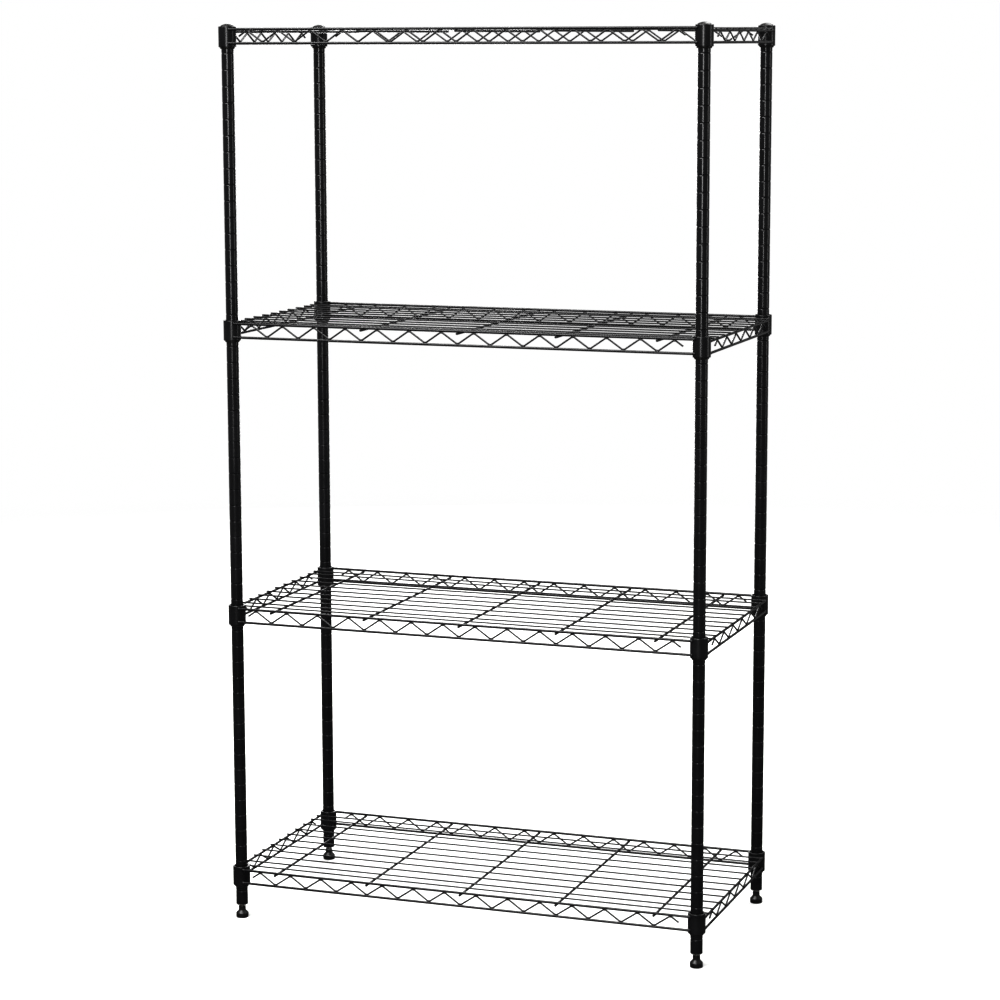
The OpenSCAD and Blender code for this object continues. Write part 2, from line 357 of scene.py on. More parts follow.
# Orange peel is a few hundredths of a millimetre deep and about 2 mm from lump to lump.
# The mould's grain is really 0.1 mm; it is drawn at 0.4 mm so that it shows.
FINISHES = {
    Slot.POST: PowderCoat("gloss_epoxy_coat_on_tube", "#070708", 0.2, 2.4 * MM, 0.02 * MM, dust_and_sheen=0.03),
    Slot.WIRE: PowderCoat("gloss_epoxy_coat_on_wire", "#080809", 0.26, 1.6 * MM, 0.02 * MM),
    Slot.MOULDING: MouldedPlastic("moulded_black_nylon", "#0d0d0d", 0.36, 0.4 * MM, 0.01 * MM),
    Slot.ZINC: ZincPlate("bright_zinc_plated_steel", "#c4c8cc", 0.26, 0.6 * MM, 0.006 * MM),
}
FLOOR_PAINT = MattPaint("pale_matt_floor_paint", "#fafaf9", 0.8, 3 * MM, 0.05 * MM)


# --- Shaping --------------------------------------------------------------


@dataclass(frozen=True)
class Box:
    """Where a CAD node stands."""

    low: Vector
    high: Vector

    @classmethod
    @cache
    def of(cls, node: str) -> "Box":
        """Reads the box of a CAD node, once."""
        return cls(*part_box(node))

    @property
    def centre(self) -> Vector:
        """The middle of the box."""
        return (self.low + self.high) / 2

    @property
    def size(self) -> Vector:
        """The lengths of its sides."""
        return self.high - self.low


def rounded(bends: list[Bend], closed: bool) -> list[Point]:
    """Rounds the corners of an outline.

    A long straight side gets a point just past each round, so that its shading stays flat.

    Args:
        bends: Radius and height of each corner, and the radius of its round, 0 for none.
        closed: Whether the last corner joins the first.

    Returns:
        The points of the rounded outline.
    """
    points: list[Point] = []
    for i, (x, y, fillet) in enumerate(bends):
        here = Vector((x, y))
        before = Vector(bends[i - 1][:2]) - here
        after = Vector(bends[(i + 1) % len(bends)][:2]) - here
        at_end = not closed and i in (0, len(bends) - 1)
        turn = 0.0 if at_end else math.pi - before.angle(after)
        if fillet == 0 or turn < ROUND_STEP / 4:
            points.append((x, y))
            continue
        reach = fillet * math.tan(turn / 2)
        inward = before.normalized() + after.normalized()
        hub = here + inward.normalized() * (fillet / math.cos(turn / 2))
        start = here + before.normalized() * reach - hub
        way = math.copysign(1.0, before.x * after.y - before.y * after.x)
        if before.length > LONG_SIDE * reach:
            points.append(tuple(here + before.normalized() * SIDE_POINT * reach))
        steps = max(2, round(turn / ROUND_STEP))
        for k in range(steps + 1):
            arm = Matrix.Rotation(-way * turn * k / steps, 2) @ start
            points.append(tuple(hub + arm))
        if after.length > LONG_SIDE * reach:
            points.append(tuple(here + after.normalized() * SIDE_POINT * reach))
    return points


@dataclass
class Blank:
    """The points and faces of a piece that is being shaped."""

    points: list[Vector] = field(default_factory=list)
    faces: list[list[int]] = field(default_factory=list)

    def turn(self, outline: list[Point], centre: Vector, sides: int = 64, start: float = 0.0,
             sweep: float = math.tau) -> None:
        """Turns an outline about an upright axis.

        Args:
            outline: Radius and height of each point. It is closed unless it begins on the axis.
            centre: Where the axis stands, at the outline's height 0.
            sides: Steps of the sweep.
            start: Angle of the first step, from +X.
            sweep: Angle that the outline is turned through; short of a full turn, both ends
                are closed.
        """
        full = sweep >= math.tau
        turns = sides if full else sides + 1
        solid = outline[0][0] == 0
        column = []
        for radius, height in outline:
            copies = 1 if radius == 0 else turns
            column.append([len(self.points) + k for k in range(copies)])
            for k in range(copies):
                angle = start + sweep * k / sides
                spoke = Vector((radius * math.cos(angle), radius * math.sin(angle), height))
                self.points.append(centre + spoke)
        spans = len(outline) - 1 if solid else len(outline)
        for j in range(spans):
            low, high = column[j], column[(j + 1) % len(outline)]
            for k in range(sides):
                near, far = k, (k + 1) % turns
                corners = [low[near % len(low)], low[far % len(low)],
                           high[far % len(high)], high[near % len(high)]]
                self.faces.append(list(dict.fromkeys(corners)))
        if not full:
            self.faces.append([ring[0] for ring in column])
            self.faces.append([ring[-1] for ring in column])

    def mesh(self) -> Mesh:
        """Returns the shape as a mesh."""
        made = bpy.data.meshes.new("blank")
        made.from_pydata(self.points, [], self.faces)
        return made


def dressed(name: str, meshes: list[Mesh], slot: Slot, body: str, *nodes: str) -> bpy.types.Object:
    """Makes one piece of finished meshes, in place, and lets it ride on its body.

    Args:
        name: The piece's name.
        meshes: What it is made of; they are used up.
        slot: The record's slot that it takes its finish from.
        body: The CAD body that it moves with.
        nodes: The CAD nodes that it stands for.

    Returns:
        The piece.
    """
    work = bmesh.new()
    for mesh in meshes:
        work.from_mesh(mesh)
        bpy.data.meshes.remove(mesh)
    bmesh.ops.remove_doubles(work, verts=work.verts, dist=MERGE)
    bmesh.ops.recalc_face_normals(work, faces=work.faces)
    made = bpy.data.meshes.new(name)
    work.to_mesh(made)
    work.free()
    made.materials.clear()
    made.materials.append(FINISHES[slot].material())
    made.polygons.foreach_set("material_index", [0] * len(made.polygons))
    made.shade_smooth()
    made.set_sharp_from_angle(angle=CREASE)
    piece = bpy.data.objects.new(name, made)
    bpy.context.scene.collection.objects.link(piece)
    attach(piece, body)
    if nodes:
        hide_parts(*nodes)
    LOG.info("%s: %d faces on body %s, for %s", name, len(made.polygons), body, ", ".join(nodes) or "-")
    return piece


# --- Geometry trees -------------------------------------------------------


class Pattern(ABC):
    """A geometry tree that sets one shape on every point that it is given."""

    name: str
    sizes: dict[str, Kind]
    common = {"Turn": Kind.VECTOR, "Finish": Kind.MATERIAL}

    def __init__(self) -> None:
        """Builds the tree: its inputs, the shape, its copies on the points and their material."""
        self.tree = bpy.data.node_groups.new(self.name, "GeometryNodeTree")
        panel = self.tree.interface
        panel.new_socket("Points", in_out="INPUT", socket_type="NodeSocketGeometry")
        for label, kind in {**self.sizes, **self.common}.items():
            panel.new_socket(label, in_out="INPUT", socket_type=kind.value)
        panel.new_socket("Shapes", in_out="OUTPUT", socket_type="NodeSocketGeometry")
        given = add_node(self.tree, "NodeGroupInput").outputs
        copies = add_node(self.tree, "GeometryNodeInstanceOnPoints", None, {
            "Points": given["Points"], "Instance": self.shape(self.tree, given),
            "Rotation": given["Turn"]})
        plain = add_node(self.tree, "GeometryNodeRealizeInstances", None, {"Geometry": copies})
        painted = add_node(self.tree, "GeometryNodeSetMaterial", None, {
            "Geometry": plain, "Material": given["Finish"]})
        add_node(self.tree, "NodeGroupOutput", None, {"Shapes": painted})

    @abstractmethod
    def shape(self, tree: Tree, given: Outputs) -> Node:
        """Adds the nodes of one shape, at the origin.

        Args:
            tree: The tree.
            given: The tree's inputs, by name.

        Returns:
            The node that gives the shape.
        """

    def grow(self, points: list[Vector], slot: Slot, run: Run = Run.SIDEWAYS, **sizes: float) -> Mesh:
        """Sets the shape on points and returns the plain mesh.

        Args:
            points: Where each copy stands.
            slot: The slot whose finish it takes.
            run: The way that the shape's own X axis runs.
            sizes: The tree's sizes, with _ for a space in their names.

        Returns:
            All the copies as one mesh.
        """
        setting = bpy.data.meshes.new("setting_out")
        setting.from_pydata(points, [], [])
        holder = bpy.data.objects.new("setting_out", setting)
        bpy.context.scene.collection.objects.link(holder)
        modifier = holder.modifiers.new(self.name, "NODES")
        modifier.node_group = self.tree
        values = {label.replace("_", " "): value for label, value in sizes.items()}
        values |= {"Turn": (0.0, 0.0, run.value), "Finish": FINISHES[slot].material()}
        for item in self.tree.interface.items_tree:
            if item.in_out == "INPUT" and item.name in values:
                modifier[item.identifier] = values.pop(item.name)
        if values:
            raise ValueError(f"{self.name} has no input named {', '.join(values)}")
        grown = holder.evaluated_get(bpy.context.evaluated_depsgraph_get())
        mesh = bpy.data.meshes.new_from_object(grown)
        holder.modifiers.remove(modifier)
        bpy.data.objects.remove(holder)
        bpy.data.meshes.remove(setting)
        return mesh


class StraightWire(Pattern):
    """A cut length of wire along X, centred, with its ends broken by the coating."""

    name = "straight_wire"
    sizes = {"Length": Kind.SIZE, "Radius": Kind.SIZE, "Rounding": Kind.SIZE, "Sides": Kind.COUNT}
    end_steps = 4

    def shape(self, tree: Tree, given: Outputs) -> Node:
        """Sweeps a circle along a line that has its points gathered at its rounded ends."""
        last = 2 * self.end_steps + 1
        line = add_node(tree, "GeometryNodeResampleCurve", None, {
            "Curve": add_node(tree, "GeometryNodeCurvePrimitiveLine"), "Count": last + 1})
        index = add_node(tree, "GeometryNodeInputIndex")
        from_end = add_node(tree, MATH, {"operation": "SUBTRACT"}, {0: float(last), 1: index})
        nearest = add_node(tree, MATH, {"operation": "MINIMUM"}, {0: index, 1: from_end})
        angle = add_node(tree, MATH, {"operation": "MULTIPLY"}, {
            0: nearest, 1: math.pi / 2 / self.end_steps})
        cosine = add_node(tree, MATH, {"operation": "COSINE"}, {0: angle})
        sine = add_node(tree, MATH, {"operation": "SINE"}, {0: angle})
        inset = add_node(tree, MATH, {"operation": "SUBTRACT"}, {0: 1.0, 1: cosine})
        drawn_in = add_node(tree, MATH, {"operation": "MULTIPLY"}, {0: inset, 1: given["Rounding"]})
        half = add_node(tree, MATH, {"operation": "MULTIPLY"}, {0: given["Length"], 1: 0.5})
        along = add_node(tree, MATH, {"operation": "SUBTRACT"}, {0: half, 1: drawn_in})
        middle = add_node(tree, MATH, {"operation": "SUBTRACT"}, {0: index, 1: last / 2})
        side = add_node(tree, MATH, {"operation": "SIGN"}, {0: middle})
        x = add_node(tree, MATH, {"operation": "MULTIPLY"}, {0: along, 1: side})
        path = add_node(tree, "GeometryNodeSetPosition", None, {
            "Geometry": line, "Position": add_node(tree, "ShaderNodeCombineXYZ", None, {"X": x})})
        core = add_node(tree, MATH, {"operation": "SUBTRACT"}, {
            0: given["Radius"], 1: given["Rounding"]})
        radius = add_node(tree, MATH, {"operation": "MULTIPLY_ADD"}, {
            0: sine, 1: given["Rounding"], 2: core})
        ring = add_node(tree, "GeometryNodeCurvePrimitiveCircle", None, {
            "Resolution": given["Sides"], "Radius": 1.0})
        return add_node(tree, "GeometryNodeCurveToMesh", None, {
            "Curve": path, "Profile Curve": ring, "Scale": radius, "Fill Caps": True})


class TrussWire(Pattern):
    """A zigzag wire along X with round bends, cut off in the middle of its outer legs."""

    name = "truss_wire"
    sizes = {"Corners": Kind.COUNT, "Wave": Kind.SIZE, "Low": Kind.SIZE, "High": Kind.SIZE,
             "Bend": Kind.SIZE, "Radius": Kind.SIZE, "Sides": Kind.COUNT}
    bend_steps = 6

    def shape(self, tree: Tree, given: Outputs) -> Node:
        """Lays the sharp zigzag out by its corners' numbers, rounds it and sweeps a circle along it."""
        last = add_node(tree, MATH, {"operation": "ADD"}, {0: given["Corners"], 1: 1.0})
        count = add_node(tree, MATH, {"operation": "ADD"}, {0: given["Corners"], 1: 2.0})
        line = add_node(tree, "GeometryNodeMeshToCurve", None, {
            "Mesh": add_node(tree, "GeometryNodeMeshLine", None, {"Count": count})})
        index = add_node(tree, "GeometryNodeInputIndex")
        from_end = add_node(tree, MATH, {"operation": "SUBTRACT"}, {0: last, 1: index})
        nearest = add_node(tree, MATH, {"operation": "MINIMUM"}, {0: index, 1: from_end})
        is_end = add_node(tree, MATH, {"operation": "LESS_THAN"}, {0: nearest, 1: 0.5})
        middle = add_node(tree, MATH, {"operation": "SUBTRACT"}, {
            0: index, 1: add_node(tree, MATH, {"operation": "MULTIPLY"}, {0: last, 1: 0.5})})
        side = add_node(tree, MATH, {"operation": "SIGN"}, {0: middle})
        cut = add_node(tree, MATH, {"operation": "MULTIPLY"}, {0: side, 1: is_end})
        half_waves = add_node(tree, MATH, {"operation": "MULTIPLY_ADD"}, {0: cut, 1: -0.5, 2: middle})
        half_wave = add_node(tree, MATH, {"operation": "MULTIPLY"}, {0: given["Wave"], 1: 0.5})
        x = add_node(tree, MATH, {"operation": "MULTIPLY"}, {0: half_waves, 1: half_wave})
        is_crest = add_node(tree, MATH, {"operation": "MODULO"}, {0: index, 1: 2.0})
        share = add_node(tree, "ShaderNodeMix", {"data_type": "FLOAT"}, {
            "Factor": is_end, 2: is_crest, 3: 0.5})
        z = add_node(tree, "ShaderNodeMix", {"data_type": "FLOAT"}, {
            "Factor": share, 2: given["Low"], 3: given["High"]})
        path = add_node(tree, "GeometryNodeSetPosition", None, {
            "Geometry": line,
            "Position": add_node(tree, "ShaderNodeCombineXYZ", None, {"X": x, "Z": z})})
        bent = add_node(tree, "GeometryNodeFilletCurve", None, {"Curve": path, "Radius": given["Bend"]})
        bent.inputs["Limit Radius"].default_value = True
        ring = add_node(tree, "GeometryNodeCurvePrimitiveCircle", None, {
            "Resolution": given["Sides"], "Radius": 1.0})
        return add_node(tree, "GeometryNodeCurveToMesh", None, {
            "Curve": bent, "Profile Curve": ring, "Scale": given["Radius"], "Fill Caps": True})


class ThreadedRod(Pattern):
    """An upright rod with a right-hand thread and broken ends, centred."""

    name = "threaded_rod"
    sizes = {"Length": Kind.SIZE, "Crest": Kind.SIZE, "Root": Kind.SIZE, "Pitch": Kind.SIZE,
             "Rings": Kind.COUNT, "Sides": Kind.COUNT}
    flat = 0.12

    def shape(self, tree: Tree, given: Outputs) -> Node:
        """Pushes every ring of a cylinder in and out along the thread's helix."""
        rod = add_node(tree, "GeometryNodeMeshCylinder", None, {
            "Vertices": given["Sides"], "Side Segments": given["Rings"], "Radius": given["Crest"],
            "Depth": given["Length"]})
        place = add_node(tree, "ShaderNodeSeparateXYZ", None, {
            0: add_node(tree, "GeometryNodeInputPosition")})
        x, y, z = place.outputs
        angle = add_node(tree, MATH, {"operation": "ARCTAN2"}, {0: y, 1: x})
        turns = add_node(tree, MATH, {"operation": "DIVIDE"}, {0: z, 1: given["Pitch"]})
        wound = add_node(tree, MATH, {"operation": "MULTIPLY_ADD"}, {
            0: angle, 1: -1 / math.tau, 2: turns})
        folded = add_node(tree, MATH, {"operation": "PINGPONG"}, {0: wound, 1: 0.5})
        height = add_node(tree, "ShaderNodeMapRange", {"clamp": True}, {
            "Value": folded, "From Min": self.flat / 2, "From Max": 0.5 - self.flat / 2,
            "To Min": given["Root"], "To Max": given["Crest"]})
        reach = add_node(tree, MATH, {"operation": "ABSOLUTE"}, {0: z})
        half = add_node(tree, MATH, {"operation": "MULTIPLY_ADD"}, {
            0: given["Length"], 1: 0.5, 2: given["Root"]})
        chamfer = add_node(tree, MATH, {"operation": "SUBTRACT"}, {0: half, 1: reach})
        radius = add_node(tree, MATH, {"operation": "MINIMUM"}, {0: height, 1: chamfer})
        scale = add_node(tree, MATH, {"operation": "DIVIDE"}, {0: radius, 1: given["Crest"]})
        moved_x = add_node(tree, MATH, {"operation": "MULTIPLY"}, {0: x, 1: scale})
        moved_y = add_node(tree, MATH, {"operation": "MULTIPLY"}, {0: y, 1: scale})
        moved = add_node(tree, "ShaderNodeCombineXYZ", None, {"X": moved_x, "Y": moved_y, "Z": z})
        return add_node(tree, "GeometryNodeSetPosition", None, {"Geometry": rod, "Position": moved})


class WeldSpot(Pattern):
    """The low lump of a resistance weld, rounded over by the coating."""

    name = "weld_spot"
    sizes = {"Half Sizes": Kind.VECTOR}
    segments, rings = 10, 6

    def shape(self, tree: Tree, given: Outputs) -> Node:
        """Stretches a small ball."""
        ball = add_node(tree, "GeometryNodeMeshUVSphere", None, {
            "Segments": self.segments, "Rings": self.rings, "Radius": 1.0})
        return add_node(tree, "GeometryNodeTransform", None, {
            "Geometry": ball, "Scale": given["Half Sizes"]})


# --- Posts ----------------------------------------------------------------


@dataclass
class Post:
    """A corner post: a grooved tube, the cap in its top and the nut in its foot."""

    corner: Corner
    wall: float = 1.0 * MM
    groove_pitch: float = 25.4 * MM
    groove_start: float = 22.0 * MM
    groove_depth: float = 0.5 * MM
    groove_width: float = 2.4 * MM
    groove_floor: float = 0.5 * MM
    groove_round: float = 0.9 * MM
    end_round: float = 0.35 * MM
    cap_side: float = 2.5 * MM
    cap_round: float = 0.9 * MM
    plug_wall: float = 1.5 * MM
    plug_floor: float = 1.0 * MM
    plug_gap: float = 0.05 * MM
    flange: float = 1.2 * MM
    stud_hole: float = 4.1 * MM
    sides: int = 48
    dome_steps: int = 8
    body: str = "posts"

    @property
    def tube(self) -> Box:
        """The box of the tube."""
        return Box.of(f"post_{self.corner.value}")

    @property
    def radius(self) -> float:
        """The outer radius of the tube."""
        return self.tube.size.x / 2

    @property
    def foot(self) -> Vector:
        """The centre of the tube's lower end."""
        tube = self.tube
        return Vector((tube.centre.x, tube.centre.y, tube.low.z))

    def grooves(self) -> list[float]:
        """Returns the height of every groove above the foot, up to the one of the top shelf."""
        top = Box.of(f"shelf_{TOP_SHELF}_collars").centre.z - self.foot.z
        count = round((top - self.groove_start) / self.groove_pitch) + 1
        return [self.groove_start + i * self.groove_pitch for i in range(count)]

    def make_tube(self) -> None:
        """Makes the tube with its rolled grooves."""
        outer, inner = self.radius, self.radius - self.wall
        length = self.tube.size.z
        floor = outer - self.groove_depth
        half, flat = self.groove_width / 2, self.groove_floor / 2
        bends = [(inner, 0.0, self.end_round), (outer, 0.0, self.end_round)]
        for height in self.grooves():
            bends += [(radius, height + reach, self.groove_round) for radius, reach in (
                (outer, -half), (floor, -flat), (floor, flat), (outer, half))]
        bends += [(outer, length, self.end_round), (inner, length, self.end_round)]
        blank = Blank()
        blank.turn(rounded(bends, closed=True), self.foot, self.sides)
        dressed(f"grooved_tube_{self.corner.value}", [blank.mesh()], Slot.POST, self.body,
                f"post_{self.corner.value}")

    def make_cap(self) -> None:
        """Makes the domed cap with its hollow plug."""
        node = f"post_cap_{self.corner.value}"
        cap = Box.of(node)
        top = self.foot + Vector((0, 0, self.tube.size.z))
        height = cap.high.z - top.z
        radius = cap.size.x / 2
        rise = height - self.cap_side
        dome = (radius ** 2 + rise ** 2) / (2 * rise)
        edge = math.asin(radius / dome)
        angles = [edge * k / self.dome_steps for k in reversed(range(self.dome_steps))]
        arc = [(dome * math.sin(a), height - dome + dome * math.cos(a), 0.0) for a in angles]
        plug = self.radius - self.wall - self.plug_gap
        tip = cap.low.z - top.z
        bends = [(0.0, -self.plug_floor, 0.0), (plug - self.plug_wall, -self.plug_floor, 0.0),
                 (plug - self.plug_wall, tip, 0.0), (plug, tip, self.end_round), (plug, 0.0, 0.0),
                 (radius, 0.0, self.end_round), (radius, self.cap_side, self.cap_round), *arc]
        blank = Blank()
        blank.turn(rounded(bends, closed=False), top)
        dressed(f"end_cap_{self.corner.value}", [blank.mesh()], Slot.MOULDING, self.body, node)

    def make_nut(self) -> None:
        """Makes the flanged nut that is pressed into the tube's foot."""
        node = f"foot_nut_{self.corner.value}"
        nut = Box.of(node)
        bore = self.radius - self.wall - self.plug_gap
        height = nut.high.z - self.foot.z
        rounding = self.end_round
        bends = [(self.stud_hole, -self.flange, rounding), (self.radius, -self.flange, rounding),
                 (self.radius, 0.0, 0.0), (bore, 0.0, 0.0), (bore, height, rounding),
                 (self.stud_hole, height, rounding)]
        blank = Blank()
        blank.turn(rounded(bends, closed=True), self.foot, self.sides)
        dressed(f"flanged_nut_{self.corner.value}", [blank.mesh()], Slot.ZINC, self.body, node)

    def make(self) -> None:
        """Makes the post's pieces."""
        self.make_tube()
        self.make_cap()
        self.make_nut()


# --- Feet -----------------------------------------------------------------


@dataclass
class Foot:
    """A levelling foot: a threaded stud standing in a flared pad."""

    corner: Corner
    rod: ThreadedRod
    pitch: float = 1.25 * MM
    thread_depth: float = 0.75 * MM
    rings_per_turn: int = 12
    neck: float = 5.75 * MM
    side_height: float = 7.5 * MM
    flare: float = 1.1
    socket: float = 4.1 * MM
    socket_floor: float = 9.0 * MM
    sole_round: float = 1.5 * MM
    edge_round: float = 1.0 * MM
    neck_round: float = 2.0 * MM
    mouth_round: float = 0.5 * MM
    sides: int = 36

    def make_stud(self) -> None:
        """Makes the stud with its thread."""
        node = f"foot_stud_{self.corner.value}"
        stud = Box.of(node)
        crest = stud.size.x / 2
        mesh = self.rod.grow(
            [stud.centre], Slot.ZINC, Length=stud.size.z, Crest=crest, Root=crest - self.thread_depth,
            Pitch=self.pitch, Rings=round(stud.size.z / self.pitch * self.rings_per_turn),
            Sides=self.sides)
        corner = self.corner.value
        dressed(f"threaded_stud_{corner}", [mesh], Slot.ZINC, f"stud_{corner}", node)

    def make_pad(self) -> None:
        """Makes the pad: a flat sole, a straight side and a flare up to the neck round the stud."""
        node = f"foot_pad_{self.corner.value}"
        pad = Box.of(node)
        radius, height = pad.size.x / 2, pad.size.z
        shoulder = self.side_height + (radius - self.neck) * self.flare
        bends = [(0.0, 0.0, 0.0), (radius, 0.0, self.sole_round),
                 (radius, self.side_height, self.edge_round), (self.neck, shoulder, self.neck_round),
                 (self.neck, height, self.mouth_round),
                 (self.socket, height, self.mouth_round / 2), (self.socket, self.socket_floor, 0.0),
                 (0.0, self.socket_floor, 0.0)]
        blank = Blank()
        blank.turn(rounded(bends, closed=False), Vector((pad.centre.x, pad.centre.y, pad.low.z)))
        corner = self.corner.value
        dressed(f"flared_pad_{corner}", [blank.mesh()], Slot.MOULDING, f"pad_{corner}", node)

    def make(self) -> None:
        """Makes the foot's pieces."""
        self.make_stud()
        self.make_pad()


# --- Shelves --------------------------------------------------------------


@dataclass
class Shelf:
    """A welded wire shelf with its four collars, and the clips that it sits on."""

    number: int
    posts: list[Post]
    wire: StraightWire
    truss: TrussWire
    weld: WeldSpot
    rim_radius: float = 2.0 * MM
    rim_sides: int = 24
    truss_radius: float = 1.4 * MM
    truss_sides: int = 16
    cross_radius: float = 1.9 * MM
    cross_sides: int = 20
    deck_radius: float = 1.25 * MM
    deck_sides: int = 16
    wire_round: float = 0.4 * MM
    rim_reach: float = 7.4 * MM
    wave: float = 53.2 * MM
    waves_per_cross: int = 3
    bend: float = 3.5 * MM
    bend_sink: float = 1.0 * MM
    weld_sink: float = 0.4 * MM
    crossing_weld: Bend = (2.1, 1.7, 0.9)
    bend_weld: Bend = (3.4, 1.5, 0.9)
    end_weld: Bend = (2.8, 2.3, 2.3)
    deck_pitch: float = 33.5 * MM
    collar_wall: float = 1.75 * MM
    collar_taper: float = 0.8 * MM
    collar_round: float = 1.1 * MM
    collar_mouth: float = 0.3 * MM
    clip_gap: float = 0.1 * MM
    clip_wall: float = 1.3 * MM
    clip_taper: float = 0.8 * MM
    clip_step: float = 0.5 * MM
    clip_slot: float = math.radians(6)
    clip_round: float = 0.3 * MM
    clip_sides: int = 40
    ridge_gap: float = 0.15 * MM
    ridge_share: float = 0.7

    def node(self, part: str) -> str:
        """Returns the name of one of this shelf's CAD nodes or pieces."""
        return f"shelf_{self.number}_{part}"

    def box(self, part: str) -> Box:
        """Returns the box of a CAD node of this shelf."""
        return Box.of(self.node(part))

    def dress(self, name: str, meshes: list[Mesh], *parts: str) -> None:
        """Finishes a piece that is welded into the shelf, in place of its CAD nodes."""
        dressed(self.node(name), meshes, Slot.WIRE, self.body, *map(self.node, parts))

    @property
    def body(self) -> str:
        """The CAD body that the welded shelf is."""
        return f"shelf_{self.number}"

    @property
    def half_span(self) -> Vector:
        """Half the distances between the posts."""
        return max((post.foot for post in self.posts), key=lambda foot: foot.x + foot.y)

    @property
    def collar_radius(self) -> float:
        """The outer radius of a collar."""
        return self.box("collars").high.x - self.half_span.x

    def rim_heights(self) -> dict[Run, tuple[float, float]]:
        """Returns the heights of the lower and the upper rim, for each way that they run."""
        upper, low = self.box("upper_rims"), self.box("lower_rims").centre.z
        return {Run.SIDEWAYS: (low, upper.high.z - self.rim_radius),
                Run.FRONT_TO_REAR: (low, upper.low.z + self.rim_radius)}

    def rim_line(self, run: Run, side: int) -> Vector:
        """Returns the middle of a rim's line in plan, on side -1 or 1."""
        corner = self.box("upper_rims").high
        if run is Run.SIDEWAYS:
            return Vector((0, side * (corner.y - self.rim_radius), 0))
        return Vector((side * (corner.x - self.rim_radius), 0, 0))

    def span(self, run: Run) -> float:
        """Returns the distance between the posts, the way that run says."""
        return 2 * (self.half_span.x if run is Run.SIDEWAYS else self.half_span.y)

    def cross_lines(self) -> list[float]:
        """Returns the x of each cross wire."""
        box = self.box("cross_wires")
        pitch = self.wave * self.waves_per_cross
        count = round((box.size.x - 2 * self.cross_radius) / pitch) // 2
        return [i * pitch for i in range(-count, count + 1)]

    def deck_lines(self) -> list[float]:
        """Returns the y of each deck wire: evenly spaced ones, and one beside each pair of collars."""
        edge = self.box("deck_wires").high.y - self.deck_radius
        count = math.floor((edge - self.deck_pitch / 2) / self.deck_pitch)
        return [-edge, *(i * self.deck_pitch for i in range(-count, count + 1)), edge]

    def crests(self, run: Run) -> int:
        """Returns the number of upper bends of a truss wire."""
        room = self.span(run) / 2 - self.collar_radius - self.wave / 4
        return 2 * max(1, math.floor(room / self.wave + 0.5))

    def bend_heights(self, run: Run) -> tuple[float, float]:
        """Returns the heights of the lower and the upper bends of a truss wire, on its centre line."""
        reach = self.rim_radius + self.truss_radius - self.bend_sink
        low, high = self.rim_heights()[run]
        return low + reach, high - reach

    def make_collars(self) -> None:
        """Makes the four tapered collars."""
        box = self.box("collars")
        outer, height = self.collar_radius, box.size.z
        low_bore = outer - self.collar_wall
        bends = [(low_bore, 0.0, self.collar_mouth), (outer, 0.0, self.collar_round),
                 (outer, height, self.collar_round),
                 (low_bore - self.collar_taper, height, self.collar_mouth)]
        outline = rounded(bends, closed=True)
        blank = Blank()
        for post in self.posts:
            blank.turn(outline, Vector((post.foot.x, post.foot.y, box.low.z)))
        self.dress("corner_collars", [blank.mesh()], "collars")

    def make_clips(self, half: Half) -> None:
        """Makes the front or the rear halves of the clips, each with its ridge in a groove."""
        side = half.name.lower()
        box, collars = self.box(f"{side}_clips"), self.box("collars")
        post = self.posts[0]
        bore = post.radius + self.clip_gap
        top, low = bore + self.clip_wall, bore + self.clip_wall + self.clip_taper
        start, end = box.low.z - collars.low.z, box.high.z - collars.low.z
        middle = collars.size.z / 2
        ridge = post.radius - post.groove_depth + self.ridge_gap
        half_ridge = post.groove_width * self.ridge_share / 2
        rounding = self.clip_round
        bends = [(bore, start, rounding), (top, start, rounding), (low, -self.clip_step, rounding),
                 (low, 0.0, 0.0), (top, end, rounding), (bore, end, rounding),
                 (bore, middle + half_ridge, 0.0),
                 (ridge, middle + half_ridge / 2, 0.0), (ridge, middle - half_ridge / 2, 0.0),
                 (bore, middle - half_ridge, 0.0)]
        outline = rounded(bends, closed=True)
        blank = Blank()
        for post in self.posts:
            blank.turn(outline, Vector((post.foot.x, post.foot.y, collars.low.z)), self.clip_sides,
                       start=half.value + self.clip_slot / 2, sweep=math.pi - self.clip_slot)
        dressed(self.node(f"{side}_clip_halves"), [blank.mesh()], Slot.MOULDING, post.body,
                self.node(f"{side}_clips"))

    def make_rims(self, part: str, level: int) -> None:
        """Makes the four rim wires of one level, between the collars.

        Args:
            part: The CAD node's name within the shelf.
            level: 0 for the lower level, 1 for the upper one.
        """
        meshes = []
        for run, heights in self.rim_heights().items():
            places = [self.rim_line(run, side) + Vector((0, 0, heights[level])) for side in (-1, 1)]
            meshes.append(self.wire.grow(
                places, Slot.WIRE, run, Length=self.span(run) - 2 * self.rim_reach,
                Radius=self.rim_radius, Rounding=self.wire_round, Sides=self.rim_sides))
        self.dress(part.replace("rims", "rim_wires"), meshes, part)

    def make_trusses(self) -> None:
        """Makes the zigzag wires between the rims."""
        meshes = []
        for run in Run:
            low, high = self.bend_heights(run)
            rise = high - low - 2 * self.bend
            chord = math.hypot(self.wave / 2, rise)
            slope = math.atan2(rise, self.wave / 2) + math.asin(2 * self.bend / chord)
            point = self.bend / math.cos(slope) - self.bend
            places = [self.rim_line(run, side) for side in (-1, 1)]
            meshes.append(self.truss.grow(
                places, Slot.WIRE, run, Corners=2 * self.crests(run) - 1, Wave=self.wave,
                Low=low - point, High=high + point, Bend=self.bend, Radius=self.truss_radius,
                Sides=self.truss_sides))
        self.dress("truss_wires", meshes, "trusses")

